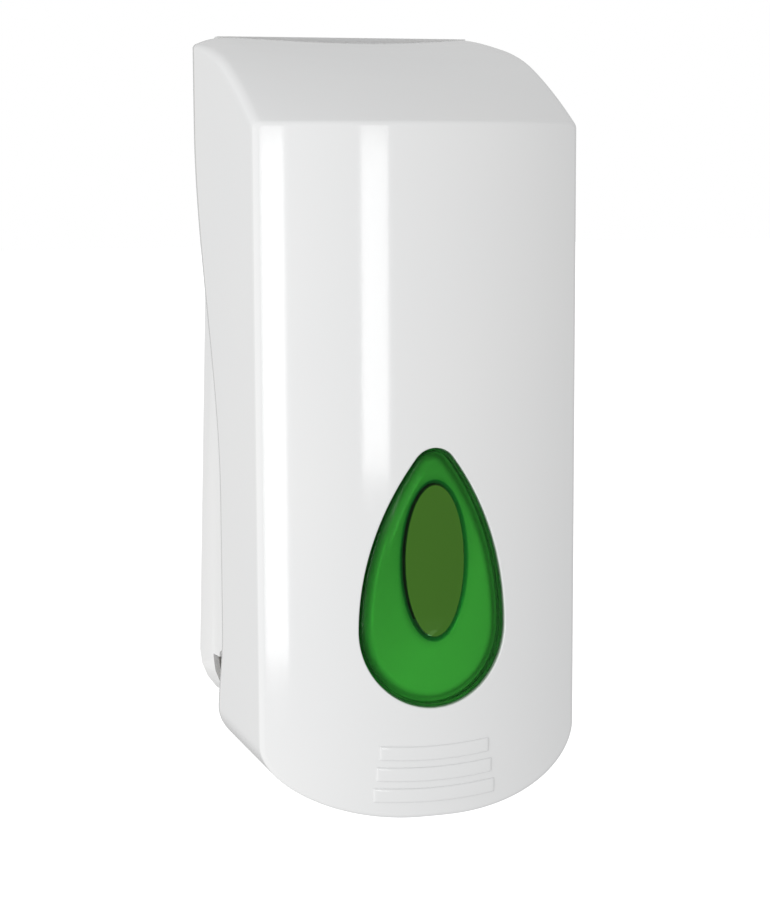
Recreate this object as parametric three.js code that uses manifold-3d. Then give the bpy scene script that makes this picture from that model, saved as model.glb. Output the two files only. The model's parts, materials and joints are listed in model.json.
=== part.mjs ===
// Wall-mounted push-cover soap dispenser.
// Millimetres, +Z up. The wall is the plane Y = 0 and the front of the dispenser faces -Y.
// The origin is the middle of the back plate's rear face, where the dispenser meets the wall.
import * as THREE from "three";
import { mergeVertices } from "three/addons/utils/BufferGeometryUtils.js";
import Module from "manifold-3d";

const wasm = await Module();
wasm.setup();

// ---- driving dimensions ----
const GAP = 0.3; // running and assembly gap between separate pieces
const SCREW_R = 1.5; // shank of the assembly screws
const SMALL_SCREW_R = 1.2; // shank of the window retainer's screws

// cover: the outer body
const HALF_WIDTH = 52;
const DEPTH = 98; // wall to the middle of the bowed front
const FRONT_SAGITTA = 15.1; // how far the front bows out across the width
const EDGE_Z = 90; // sharp edge between the front and the sloping top
const TOP_RISE = 29.4; // from that edge up to the back of the top
const TOP_POWER = 1.72; // how quickly the slope of the top eases off
const CORNER_DROP = 2.8; // the top's rear corners turn down by this much
const CORNER_DROP_X = 40; // and start to turn down here
const BOTTOM_Z = -123.2;
const FLAT_BOTTOM = 5; // half-width of the level stretch of the bottom edge
const CORNER_HEIGHT = 22.8; // height of the elliptical lower corners
const WALL = 2.2;
const COVER_REAR_Y = -3.2; // rear edge of the top of the cover
const SIDE_REAR_Y = -33.5; // rear edge of the lower part of the sides
const SIDE_SWEEP = 120; // height over which that edge sweeps forward
const SIDE_RETURN = 7; // near the bottom it comes back towards the wall by this much
const RETURN_Z = -74; // from here down
const RETURN_SWEEP = 30;
const SCOOP_HALF = 45; // scooped cut-out in the rear edge of the top
const SCOOP_DEPTH = 20.5;
const OUTLET_HALF = 30; // open bottom, where the soap comes out
const OUTLET_FRONT_Y = -72;

// teardrop window
const DROP_HALF = 23.4;
const DROP_WIDEST_Z = -64;
const DROP_LOWER = 24.4; // widest line down to the lowest point
const DROP_UPPER = 55.8; // widest line up to the tip
const DROP_FLANK_RADIUS = 88;
const DROP_TIP_RADIUS = 7.1;
const POCKET_DEPTH = 8;
const POCKET_WALL = 1.8;
const SIGHT_Z = -42.8; // oval sight hole
const SIGHT_HALF = 10.7;
const SIGHT_TALL = 24.8;

// grip ribs
const RIB_TOP_Z = -100.2;
const RIB_PITCH = 6.6;
const RIB_HEIGHT = 4.4;
const RIB_PROUD = 0.7;
const RIB_HALVES = [17.8, 18.8, 19.8];

// back plate
const PLATE = 2;
const TRAY_WALL = 2.2;
const TRAY_DEPTH = 18;
const TRAY_TOP_Z = 106.5;
const TRAY_BOTTOM_Z = -106;
const TRAY_HALF_TOP = 48.2;
const TRAY_HALF_BOTTOM = 51.8;
const TRAY_HALF_FRONT = 49.2;
const TRAY_CORNER = 19;
const TRAY_LOWER_DEPTH = 7;
const SIDE_DEPTH = 37; // side walls reach this far forward, inside the cover
const LIP_HALF = 43.5;
const LIP_TOP_Z = 119.6;
const WALL_SCREWS = [[-28, 84], [28, 84], [-32, -88], [32, -88]];

// push frame
const PUSH_Y = -12; // upper pivot
const PUSH_Z = 100;
const ARM_IN = 44.2;
const ARM_OUT = 46.7;
const BAR_BACK_Y = -79;
const BAR_FRONT_Y = -84;
const BAR_HALF = 43.6; // the bar's front face stops short of the cover's bowed front
const ARM_FRONT_Y = -82.6;
const BAR_TOP_Z = -73;
const BAR_BOTTOM_Z = -96;
const COVER_HINGE_Y = -50; // lower hinge, on which the cover opens
const COVER_HINGE_Z = -100;
const PIN_R = 2.4;

// tank
const TANK_HALF = 42.5;
const TANK_BACK_Y = -6;
const TANK_FRONT_Y = -72;
const TANK_TOP_Z = 54;
const TANK_BOTTOM_Z = -66;
const TANK_WALL = 2;
const TANK_CORNER = 9;
const NECK = { half: 27, back: -11, front: -40.5, tall: 2, wall: 2 };
const LID_HINGE_Y = -8.2;
const LID_HINGE_Z = TANK_TOP_Z + 3.6;
const LID_PIN_R = 1.2;
const TANK_SCREW = { x: 35, z: TANK_TOP_Z + 6 };

// pump
const PUMP_Z = -82;
const PUMP_BACK_Y = -20;
const PUMP_FRONT_Y = -50;
const PUMP_R = 9.5;
const BORE_R = 7.5;
const PORT_Y = -27; // inlet above, outlet below
const HEAD_Y = -76; // tip of the domed push head
const PUMP_SCREW_X = 17;
const SPOUT_Y = PORT_Y - 17.5; // the spout bends forward to here
const SPOUT_TIP_Z = -118;

// lock
const LOCK_Y = -12;
const CAM_REACH = 29;
const CAM_SCREW_R = 1.4;
const CATCH_SCREW = { x: 6.5, y: -29 };

// ---- colours ----
const WHITE = { color: 0xe9eaea, roughness: 0.22, metalness: 0 };
const PALE = { color: 0xdcdcd8, roughness: 0.5, metalness: 0 };
const GREEN = { color: 0x2f8a2f, roughness: 0.12, metalness: 0 };
const AMBER = { color: 0xa08a4a, roughness: 0.3, metalness: 0 };
const GREY = { color: 0x8a8d90, roughness: 0.5, metalness: 0 };
const RUBBER = { color: 0x333436, roughness: 0.8, metalness: 0 };
const STEEL = { color: 0xb9bcc0, roughness: 0.3, metalness: 1 };

const dispenser = new THREE.Group();

// ---- solids ----
function solid(geometry) {
  const bare = geometry.clone();
  for (const name of Object.keys(bare.attributes)) {
    if (name !== "position") bare.deleteAttribute(name);
  }
  const merged = mergeVertices(bare, 1e-4);
  const mesh = new wasm.Mesh({
    numProp: 3,
    vertProperties: new Float32Array(merged.attributes.position.array),
    triVerts: new Uint32Array(merged.index.array),
  });
  return new wasm.Manifold(mesh);
}

function geometryOf(manifold) {
  const mesh = manifold.getMesh();
  const geometry = new THREE.BufferGeometry();
  geometry.setAttribute("position", new THREE.BufferAttribute(mesh.vertProperties, 3));
  geometry.setIndex(new THREE.BufferAttribute(mesh.triVerts, 1));
  geometry.computeVertexNormals();
  return geometry;
}

function piece(name, manifold, look) {
  const mesh = new THREE.Mesh(geometryOf(manifold), new THREE.MeshStandardMaterial(look));
  mesh.name = name;
  dispenser.add(mesh);
}

function joined(first, ...others) {
  return others.reduce((sum, other) => sum.add(other), first);
}

function cut(first, ...others) {
  return others.reduce((rest, other) => rest.subtract(other), first);
}

function box([x0, x1], [y0, y1], [z0, z1]) {
  const geometry = new THREE.BoxGeometry(x1 - x0, y1 - y0, z1 - z0);
  geometry.translate((x0 + x1) / 2, (y0 + y1) / 2, (z0 + z1) / 2);
  return solid(geometry);
}

function rodZ(x, y, z0, z1, radius, sides = 20) {
  const geometry = new THREE.CylinderGeometry(radius, radius, z1 - z0, sides);
  geometry.rotateX(Math.PI / 2);
  geometry.translate(x, y, (z0 + z1) / 2);
  return solid(geometry);
}

// from y0 (nearer the wall) forward to y1
function rodY(x, z, y0, y1, radius, sides = 20) {
  const geometry = new THREE.CylinderGeometry(radius, radius, y0 - y1, sides);
  geometry.translate(x, (y0 + y1) / 2, z);
  return solid(geometry);
}

function rodX(y, z, x0, x1, radius, sides = 20) {
  const geometry = new THREE.CylinderGeometry(radius, radius, x1 - x0, sides);
  geometry.rotateZ(Math.PI / 2);
  geometry.translate((x0 + x1) / 2, y, z);
  return solid(geometry);
}

// an outline in X and Z, pushed forward from yBack by depth
function prismY(points, yBack, depth) {
  const shape = new THREE.Shape(points.map(([x, z]) => new THREE.Vector2(x, z)));
  const geometry = new THREE.ExtrudeGeometry(shape, { depth, bevelEnabled: false });
  geometry.rotateX(Math.PI / 2);
  geometry.translate(0, yBack, 0);
  return solid(geometry);
}

// an outline in Y and Z, pushed sideways from x0 to x1
function prismX(points, x0, x1) {
  const shape = new THREE.Shape(points.map(([y, z]) => new THREE.Vector2(y, z)));
  const geometry = new THREE.ExtrudeGeometry(shape, { depth: x1 - x0, bevelEnabled: false });
  const turn = new THREE.Matrix4().set(0, 0, 1, x0, 1, 0, 0, 0, 0, 1, 0, 0, 0, 0, 0, 1);
  geometry.applyMatrix4(turn);
  return solid(geometry);
}

// an outline in X and Y, pushed up from z0 to z1
function prismZ(points, z0, z1) {
  const shape = new THREE.Shape(points.map(([x, y]) => new THREE.Vector2(x, y)));
  const geometry = new THREE.ExtrudeGeometry(shape, { depth: z1 - z0, bevelEnabled: false });
  geometry.translate(0, 0, z0);
  return solid(geometry);
}

// a solid through a row of rings, each with the same number of points
function loft(rings) {
  const count = rings[0].length;
  const positions = rings.flat(2);
  const index = [];
  for (let r = 0; r + 1 < rings.length; r += 1) {
    for (let i = 0; i < count; i += 1) {
      const a = r * count + i;
      const b = r * count + ((i + 1) % count);
      index.push(a, b, a + count);
      index.push(b, b + count, a + count);
    }
  }
  const last = (rings.length - 1) * count;
  for (let i = 1; i + 1 < count; i += 1) {
    index.push(0, i + 1, i);
    index.push(last, last + i, last + i + 1);
  }
  const geometry = new THREE.BufferGeometry();
  geometry.setAttribute("position", new THREE.Float32BufferAttribute(positions, 3));
  geometry.setIndex(index);
  return solid(geometry);
}

function lathe(profile, sides = 24) {
  const points = profile.map(([radius, along]) => new THREE.Vector2(radius, along));
  return new THREE.LatheGeometry(points, sides);
}

function latheZ(profile, x, y, sides) {
  const geometry = lathe(profile, sides);
  geometry.rotateX(Math.PI / 2);
  geometry.translate(x, y, 0);
  return solid(geometry);
}

// the profile's second value is Y
function latheY(profile, x, z, sides) {
  const geometry = lathe(profile, sides);
  geometry.translate(x, 0, z);
  return solid(geometry);
}

function tube(path, radius, sides, steps) {
  const section = new THREE.Shape();
  for (let i = 0; i < sides; i += 1) {
    const angle = (2 * Math.PI * i) / sides;
    const x = radius * Math.cos(angle);
    const y = radius * Math.sin(angle);
    if (i === 0) section.moveTo(x, y);
    else section.lineTo(x, y);
  }
  section.closePath();
  return solid(new THREE.ExtrudeGeometry(section, { steps, extrudePath: path, bevelEnabled: false }));
}

function smooth(value) {
  const t = Math.min(1, Math.max(0, value));
  return t * t * (3 - 2 * t);
}

function roundedRect(half, back, front, radius, steps = 4) {
  const corners = [
    [half - radius, back - radius, 0],
    [-half + radius, back - radius, 1],
    [-half + radius, front + radius, 2],
    [half - radius, front + radius, 3],
  ];
  const points = [];
  for (const [x, y, quarter] of corners) {
    for (let i = 0; i <= steps; i += 1) {
      const angle = (Math.PI / 2) * (quarter + i / steps);
      points.push([x + radius * Math.cos(angle), y + radius * Math.sin(angle)]);
    }
  }
  return points;
}

// ---- the cover's outer shape, and the same shape moved inwards by an inset ----
const FRONT_RADIUS = (HALF_WIDTH ** 2 + FRONT_SAGITTA ** 2) / (2 * FRONT_SAGITTA);

function frontY(x, inset) {
  return -DEPTH + FRONT_RADIUS - Math.sqrt((FRONT_RADIUS - inset) ** 2 - x * x);
}

function topZ(x, y, inset) {
  const front = frontY(x, 0);
  const t = Math.min(1, (y - front) / -front);
  const rise = TOP_RISE * (1 - (1 - t) ** TOP_POWER);
  const side = Math.max(0, (Math.abs(x) - CORNER_DROP_X) / (HALF_WIDTH - CORNER_DROP_X));
  const drop = CORNER_DROP * side * side * smooth((t - 0.45) / 0.45);
  return EDGE_Z + rise - drop - inset * 1.15;
}

function bottomColumns(inset, steps) {
  const wide = HALF_WIDTH - FLAT_BOTTOM - inset;
  const tall = CORNER_HEIGHT - inset;
  const right = [];
  for (let i = 0; i <= steps; i += 1) {
    const angle = (Math.PI / 2) * (i / steps);
    const x = FLAT_BOTTOM + wide * Math.sin(angle);
    right.push([x, BOTTOM_Z + inset + tall * (1 - Math.cos(angle))]);
  }
  const left = right.map(([x, z]) => [-x, z]).reverse();
  return [...left, ...right];
}

function coverBlock(inset, rearY, columns = 8, slices = 7) {
  const rings = bottomColumns(inset, columns).map(([x, z]) => {
    const front = frontY(x, inset);
    const ring = [[x, rearY, z], [x, front, z]];
    for (let k = 0; k <= slices; k += 1) {
      const y = front + ((rearY - front) * k) / slices;
      ring.push([x, y, topZ(x, y, inset)]);
    }
    return ring.reverse();
  });
  return loft(rings);
}

function sideRearY(z) {
  const sweep = (SIDE_REAR_Y - COVER_REAR_Y) * smooth((EDGE_Z - z) / SIDE_SWEEP);
  return COVER_REAR_Y + sweep + SIDE_RETURN * smooth((RETURN_Z - z) / RETURN_SWEEP);
}

function teardrop(grow, steps = 10) {
  const flankX = DROP_HALF - DROP_FLANK_RADIUS;
  const tipZ = DROP_UPPER - DROP_TIP_RADIUS;
  const join = Math.atan2(tipZ, -flankX);
  const half = [];
  for (let i = 0; i <= steps; i += 1) {
    const angle = -Math.PI / 2 + (Math.PI / 2) * (i / steps);
    half.push([(DROP_HALF + grow) * Math.cos(angle), (DROP_LOWER + grow) * Math.sin(angle)]);
  }
  for (let i = 1; i <= steps; i += 1) {
    const angle = join * (i / steps);
    const radius = DROP_FLANK_RADIUS + grow;
    half.push([flankX + radius * Math.cos(angle), radius * Math.sin(angle)]);
  }
  for (let i = 1; i <= 5; i += 1) {
    const angle = join + (Math.PI / 2 - join) * (i / 5);
    const radius = DROP_TIP_RADIUS + grow;
    half.push([radius * Math.cos(angle), tipZ + radius * Math.sin(angle)]);
  }
  const left = half.slice(1, -1).reverse().map(([x, z]) => [-x, z]);
  return [...half, ...left].map(([x, z]) => [x, z + DROP_WIDEST_Z]);
}

function oval(grow, sides = 28) {
  const points = [];
  for (let i = 0; i < sides; i += 1) {
    const angle = (2 * Math.PI * i) / sides;
    const x = (SIGHT_HALF + grow) * Math.cos(angle);
    points.push([x, SIGHT_Z + (SIGHT_TALL + grow) * Math.sin(angle)]);
  }
  return points;
}

function bothSides(make) {
  return joined(make(1), make(-1));
}

function sideSpan(side, inner, outer) {
  return side > 0 ? [inner, outer] : [-outer, -inner];
}

// ---- cover shell ----
function gripRibs() {
  const skin = coverBlock(-RIB_PROUD, COVER_REAR_Y);
  const bars = RIB_HALVES.map((half, row) => {
    const top = RIB_TOP_Z - RIB_PITCH * row;
    const points = [];
    for (let i = 0; i <= 6; i += 1) {
      const u = -1 + i / 3;
      points.push([u * half, top - 0.8 * (1 - u * u)]);
    }
    const lower = points.map(([x, z]) => [x, z - RIB_HEIGHT]).reverse();
    return prismY([...points, ...lower], -90, 20).intersect(skin);
  });
  return joined(...bars);
}

function coverShell() {
  const outer = coverBlock(0, COVER_REAR_Y);
  const inner = coverBlock(WALL, 8);
  const behind = [];
  for (let i = 0; i <= 12; i += 1) {
    const z = EDGE_Z + 2 - ((SIDE_SWEEP + 2) * i) / 12;
    behind.push([sideRearY(z), z]);
  }
  for (let i = 0; i <= 5; i += 1) {
    const z = RETURN_Z - (RETURN_SWEEP * i) / 5;
    behind.push([sideRearY(z), z]);
  }
  const lowest = SIDE_REAR_Y + SIDE_RETURN;
  const rearCut = prismX([...behind, [lowest, -140], [20, -140], [20, EDGE_Z + 2]], -60, 60);
  const scoop = [];
  for (let i = 0; i <= 14; i += 1) {
    const u = -1 + i / 7;
    scoop.push([u * SCOOP_HALF, COVER_REAR_Y - SCOOP_DEPTH * (1 - u * u)]);
  }
  const scoopCut = prismZ([...scoop, [SCOOP_HALF, 5], [-SCOOP_HALF, 5]], 95, 130);
  const outletCut = box([-OUTLET_HALF, OUTLET_HALF], [OUTLET_FRONT_Y, 0], [-130, -112]);
  const pocketBack = -DEPTH + POCKET_DEPTH + WALL;
  const pocketSkin = prismY(teardrop(GAP + POCKET_WALL), pocketBack, 20).intersect(outer);
  const pocketRoom = prismY(teardrop(GAP), -DEPTH + POCKET_DEPTH, 20);
  const sight = prismY(oval(1.6 + GAP), pocketBack + 5, 20);
  const hollow = cut(outer, inner, rearCut, scoopCut, outletCut);
  const pressRibs = bothSides((side) => {
    const span = sideSpan(side, 28, 30.5);
    return box(span, [-96, BAR_FRONT_Y - 0.4], [-93, -77]).intersect(outer);
  });
  const hingeBosses = bothSides((side) => {
    const [x0, x1] = sideSpan(side, ARM_OUT + GAP + 0.2, 51);
    return rodX(COVER_HINGE_Y, COVER_HINGE_Z, x0, x1, 5).intersect(outer);
  });
  const catchBosses = bothSides((side) => {
    return rodZ(side * CATCH_SCREW.x, CATCH_SCREW.y, 109.3, 116, 2.8, 14).intersect(outer);
  });
  const shell = joined(hollow, pocketSkin, pressRibs, hingeBosses, catchBosses, gripRibs());
  const pinHoles = bothSides((side) => {
    const [x0, x1] = sideSpan(side, ARM_OUT, 49.4);
    return rodX(COVER_HINGE_Y, COVER_HINGE_Z, x0, x1, PIN_R + GAP);
  });
  const catchHoles = bothSides((side) => {
    return rodZ(side * CATCH_SCREW.x, CATCH_SCREW.y, 105, 113.2, SCREW_R + GAP, 12);
  });
  const clampHoles = retainerPlaces().map(([x, z]) => retainerHole(x, z));
  return cut(shell, pocketRoom, sight, pinHoles, catchHoles, ...clampHoles);
}

function windowLens() {
  const face = cut(coverBlock(0.4, COVER_REAR_Y), coverBlock(2, COVER_REAR_Y + 1));
  const plate = prismY(teardrop(0), -80, 20).intersect(face);
  const floor = -DEPTH + POCKET_DEPTH - GAP;
  const room = cut(prismY(teardrop(0), floor, 12), prismY(teardrop(-1.6), floor + 1, 14));
  const skirt = room.intersect(coverBlock(1.2, COVER_REAR_Y));
  const collar = cut(prismY(oval(1.6), floor + 2, 12), prismY(oval(0), floor + 3, 14));
  return joined(plate, skirt, collar.intersect(coverBlock(1.2, COVER_REAR_Y)));
}

// clamp frame behind the window pocket, hooked on the lens collar
const RETAINER_Y = -DEPTH + POCKET_DEPTH + WALL + GAP;

function windowRetainer() {
  const frame = prismY(oval(6), RETAINER_Y + 2, 2);
  const lowerTab = box([-15, 15], [RETAINER_Y, RETAINER_Y + 2], [-72, -64]);
  const upperTab = box([-10.5, 10.5], [RETAINER_Y, RETAINER_Y + 2], [-22, -14]);
  const opening = prismY(oval(1.6 + GAP), RETAINER_Y + 4, 6);
  const holes = retainerPlaces().map(([x, z]) => retainerHole(x, z));
  return cut(joined(frame, lowerTab, upperTab), opening, ...holes);
}

function retainerPlaces() {
  return [[-11.5, -68.5], [11.5, -68.5], [-7.2, -17.5], [7.2, -17.5]];
}

function retainerHole(x, z) {
  return rodY(x, z, RETAINER_Y + 6, -DEPTH + POCKET_DEPTH + 0.6, SMALL_SCREW_R + GAP, 12);
}

// a countersunk-head screw along Y, its head at headY and its tip further forward or back
function screwY(x, z, headY, tipY, shank, head) {
  const way = Math.sign(tipY - headY);
  const under = headY + way * 1.8;
  const profile = [[0, headY], [head, headY], [head, under], [shank, under], [shank, tipY], [0, tipY]];
  const body = latheY(way > 0 ? profile : profile.reverse(), x, z, 14);
  const slotY = [headY, headY + way * 0.8].sort((a, b) => a - b);
  return cut(body, box([x - head * 0.7, x + head * 0.7], slotY, [z - 0.4, z + 0.4]));
}

function screwZ(x, y, headZ, tipZ, shank, head) {
  const way = Math.sign(tipZ - headZ);
  const under = headZ + way * 1.8;
  const profile = [[0, headZ], [head, headZ], [head, under], [shank, under], [shank, tipZ], [0, tipZ]];
  const body = latheZ(way > 0 ? profile : profile.reverse(), x, y, 14);
  const slotZ = [headZ, headZ + way * 0.8].sort((a, b) => a - b);
  return cut(body, box([x - head * 0.7, x + head * 0.7], [y - 0.4, y + 0.4], slotZ));
}

function catchPlate() {
  const leg = box([-11, 11], [-35, -33], [101.5, 109]);
  const flange = box([-11, 11], [-33.1, -25.5], [107, 109]);
  const holes = bothSides((side) => rodZ(side * CATCH_SCREW.x, CATCH_SCREW.y, 105, 111, SCREW_R + GAP, 12));
  return cut(joined(leg, flange), holes);
}

// ---- back plate ----
function trayRing(y, halfTop, halfBottom, inset) {
  const radius = TRAY_CORNER - inset;
  const halfLow = halfBottom - inset;
  const low = TRAY_BOTTOM_Z + inset;
  const top = TRAY_TOP_Z - inset;
  const right = [[0, low]];
  for (let i = 0; i <= 6; i += 1) {
    const angle = (Math.PI / 2) * (i / 6);
    right.push([halfLow - radius + radius * Math.sin(angle), low + radius - radius * Math.cos(angle)]);
  }
  right.push([halfTop - inset, 33], [halfTop - inset, top], [0, top]);
  const left = right.slice(1, -1).reverse().map(([x, z]) => [-x, z]);
  return [...right, ...left].map(([x, z]) => [x, y, z]);
}

function backPlate() {
  const outside = loft([
    trayRing(0, TRAY_HALF_TOP, TRAY_HALF_BOTTOM, 0),
    trayRing(-TRAY_DEPTH, TRAY_HALF_FRONT, TRAY_HALF_FRONT, 0),
  ]);
  const inside = loft([
    trayRing(-PLATE, TRAY_HALF_FRONT, TRAY_HALF_BOTTOM, TRAY_WALL),
    trayRing(-TRAY_DEPTH - 1, TRAY_HALF_FRONT, TRAY_HALF_FRONT, TRAY_WALL),
  ]);
  const lowerRight = [[30, -TRAY_LOWER_DEPTH], [46.9, -11.5], [60, -15.5], [60, -31]];
  const lowerLeft = lowerRight.map(([x, y]) => [-x, y]).reverse();
  const lowerCut = prismZ([...lowerLeft, ...lowerRight], -120, -86);
  const tray = cut(outside, inside, lowerCut);
  const sideOutline = [
    [-17.8, 60],
    [-22, 40],
    [-SIDE_DEPTH, -30],
    [-SIDE_DEPTH, -76],
    [-24, -82],
    [-17.8, -84.5],
  ];
  const sides = bothSides((side) => {
    const [x0, x1] = sideSpan(side, TRAY_HALF_FRONT - TRAY_WALL, TRAY_HALF_FRONT);
    return prismX(sideOutline, x0, x1);
  });
  const lipOutline = [
    [-TRAY_HALF_TOP, 100],
    [TRAY_HALF_TOP, 100],
    [TRAY_HALF_TOP, 113],
    [LIP_HALF, LIP_TOP_Z],
    [-LIP_HALF, LIP_TOP_Z],
    [-TRAY_HALF_TOP, 113],
  ];
  const lip = prismY(lipOutline, 0, PLATE);
  const bead = box([-LIP_HALF, LIP_HALF], [-3, 0], [LIP_TOP_Z - 2, LIP_TOP_Z]);
  const shelf = box([-13, 13], [-22.5, -17], [104.3, TRAY_TOP_Z]);
  const tankLedges = bothSides((side) => {
    const span = sideSpan(side, 30, 34);
    return box(span, [-24, -1.5], [-70, TANK_BOTTOM_Z - GAP]);
  });
  const pumpBosses = bothSides((side) => rodY(side * PUMP_SCREW_X, PUMP_Z, -1.5, -19.7, 4.2, 16));
  const tankBosses = bothSides((side) => rodY(side * TANK_SCREW.x, TANK_SCREW.z, -1.5, -5.7, 4.5, 16));
  const pads = WALL_SCREWS.map(([x, z]) => rodY(x, z, -1.5, -4.5, 7, 20));
  const stiffeners = [-20, 0, 20].map((x) => box([x - 0.9, x + 0.9], [-4.6, -1.5], [-60, 98]));
  const walls = joined(tray, sides, lip, bead, shelf);
  const body = joined(walls, tankLedges, pumpBosses, tankBosses, ...pads, ...stiffeners);
  const wallHoles = WALL_SCREWS.map(([x, z]) => {
    return joined(rodY(x, z, 1, -6, 2.6, 18), rodY(x, z, -3, -6, 5, 18));
  });
  const pilotHoles = bothSides((side) => {
    const pump = rodY(side * PUMP_SCREW_X, PUMP_Z, -8, -21, SCREW_R + GAP, 12);
    return pump.add(rodY(side * TANK_SCREW.x, TANK_SCREW.z, -1, -7, SCREW_R + GAP, 12));
  });
  const pivotHoles = bothSides((side) => {
    const [x0, x1] = sideSpan(side, 45, 50);
    return rodX(PUSH_Y, PUSH_Z, x0, x1, PIN_R + GAP);
  });
  const lockHole = rodZ(0, LOCK_Y, 103, 108, 7.2, 24);
  return cut(body, ...wallHoles, pilotHoles, pivotHoles, lockHole);
}

// ---- push frame: two arms and a cross bar that carry the cover and work the pump ----
function pushYoke() {
  const armOutline = [
    [-17.5, 103.4],
    [-34, 80],
    [-62, 30],
    [-66, -60],
    [ARM_FRONT_Y, BAR_TOP_Z],
    [ARM_FRONT_Y, BAR_BOTTOM_Z],
    [-64, BAR_BOTTOM_Z],
    [-54, -103.5],
    [-46, -103.5],
    [-46, -96.5],
    [-54, -90],
    [-54, 28],
    [-26, 78],
    [-7, 96],
    [-7, 103.4],
  ];
  const arms = bothSides((side) => {
    const [x0, x1] = sideSpan(side, ARM_IN, ARM_OUT);
    return prismX(armOutline, x0, x1);
  });
  const bar = joined(
    box([-BAR_HALF, BAR_HALF], [BAR_FRONT_Y, BAR_BACK_Y], [BAR_BOTTOM_Z, BAR_TOP_Z]),
    box([-ARM_OUT, ARM_OUT], [ARM_FRONT_Y, BAR_BACK_Y], [BAR_BOTTOM_Z, BAR_TOP_Z]),
  );
  const pocket = bothSides((side) => {
    const span = sideSpan(side, 14, 26);
    return box(span, [BAR_FRONT_Y + 2, BAR_BACK_Y + 1], [BAR_BOTTOM_Z + 3, BAR_TOP_Z - 3]);
  });
  const pivots = bothSides((side) => {
    const [x0, x1] = sideSpan(side, 43, 48);
    const upper = rodX(PUSH_Y, PUSH_Z, x0, x1, PIN_R + GAP);
    return upper.add(rodX(COVER_HINGE_Y, COVER_HINGE_Z, x0, x1, PIN_R + GAP));
  });
  const padHole = rodY(0, PUMP_Z, BAR_BACK_Y + 1, BAR_FRONT_Y - 1, 3, 20);
  return cut(joined(arms, bar), pocket, pivots, padHole);
}

function pushPad() {
  const profile = [
    [0, BAR_FRONT_Y + 0.5],
    [2.6, BAR_FRONT_Y + 0.5],
    [2.6, BAR_BACK_Y + GAP],
    [12, BAR_BACK_Y + GAP],
    [12, HEAD_Y - 1.2],
    [11, HEAD_Y - 0.5],
    [0, HEAD_Y - 0.5],
  ];
  return latheY(profile, 0, PUMP_Z, 28);
}

function pivotPin(side, y, z, outer) {
  const [x0, x1] = sideSpan(side, 43.8, outer);
  const [h0, h1] = sideSpan(side, 42.9, 43.9);
  return rodX(y, z, x0, x1, PIN_R, 20).add(rodX(y, z, h0, h1, PIN_R + 1.2, 20));
}

// ---- tank and lid ----
function tank() {
  const plan = roundedRect(TANK_HALF, TANK_BACK_Y, TANK_FRONT_Y, TANK_CORNER);
  const outer = prismZ(plan, TANK_BOTTOM_Z, TANK_TOP_Z);
  const inner = prismZ(
    roundedRect(
      TANK_HALF - TANK_WALL,
      TANK_BACK_Y - TANK_WALL,
      TANK_FRONT_Y + TANK_WALL,
      TANK_CORNER - TANK_WALL,
    ),
    TANK_BOTTOM_Z + TANK_WALL,
    TANK_TOP_Z - TANK_WALL,
  );
  const neckTop = TANK_TOP_Z + NECK.tall;
  const neck = prismZ(roundedRect(NECK.half, NECK.back, NECK.front, 4), TANK_TOP_Z - 1, neckTop);
  const lugs = bothSides((side) => {
    return box(sideSpan(side, 15.5, 19.5), [-10.7, TANK_BACK_Y], [TANK_TOP_Z - 1, TANK_TOP_Z + 6.4]);
  });
  const ears = bothSides((side) => {
    return box(sideSpan(side, 30, 40), [-8.5, TANK_BACK_Y], [TANK_TOP_Z - 1, TANK_TOP_Z + 11]);
  });
  const mouth = prismZ(
    roundedRect(NECK.half - NECK.wall, NECK.back - NECK.wall, NECK.front + NECK.wall, 3),
    TANK_TOP_Z - 4,
    neckTop + 1,
  );
  const outlet = rodZ(0, PORT_Y, TANK_BOTTOM_Z - 1, TANK_BOTTOM_Z + 4, 4, 20);
  const pinHole = rodX(LID_HINGE_Y, LID_HINGE_Z, -30, 30, LID_PIN_R + GAP, 12);
  const earHoles = bothSides((side) => rodY(side * TANK_SCREW.x, TANK_SCREW.z, -5, -10, SCREW_R + GAP, 12));
  return cut(joined(outer, neck, lugs, ears), inner, mouth, outlet, pinHole, earHoles);
}

const LID_Z = TANK_TOP_Z + NECK.tall + 1.4;

function lidSeal() {
  const outer = roundedRect(NECK.half, NECK.back, NECK.front, 4);
  const inner = roundedRect(NECK.half - 2, NECK.back - 2, NECK.front + 2, 3);
  return cut(prismZ(outer, LID_Z - 1.1, LID_Z - GAP), prismZ(inner, LID_Z - 3, LID_Z + 2));
}

function tankLid() {
  const plate = prismZ(roundedRect(NECK.half + 2, -11.2, NECK.front - 1, 4), LID_Z, LID_Z + 2.2);
  const plug = prismZ(
    roundedRect(NECK.half - 2.6, NECK.back - 2.6, NECK.front + 3.2, 3),
    TANK_TOP_Z - 1,
    LID_Z + 1,
  );
  const hollow = prismZ(
    roundedRect(NECK.half - 4.4, NECK.back - 4.4, NECK.front + 5, 2),
    TANK_TOP_Z - 2,
    LID_Z,
  );
  const tongue = box([-15.1, 15.1], [-12, LID_HINGE_Y], [LID_Z, LID_Z + 2.2]);
  const knuckle = rodX(LID_HINGE_Y, LID_HINGE_Z, -15.1, 15.1, 2.6, 16);
  const tab = box([-8, 8], [NECK.front - 3, NECK.front - 0.5], [LID_Z, LID_Z + 1.4]);
  const lugNotches = bothSides((side) => {
    return box(sideSpan(side, 15.2, 19.9), [-12.6, -5], [LID_Z - 1, LID_Z + 4]);
  });
  const pinHole = rodX(LID_HINGE_Y, LID_HINGE_Z, -20, 20, LID_PIN_R + GAP, 12);
  return cut(joined(plate, plug, tongue, knuckle, tab), hollow, pinHole, lugNotches);
}

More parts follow.
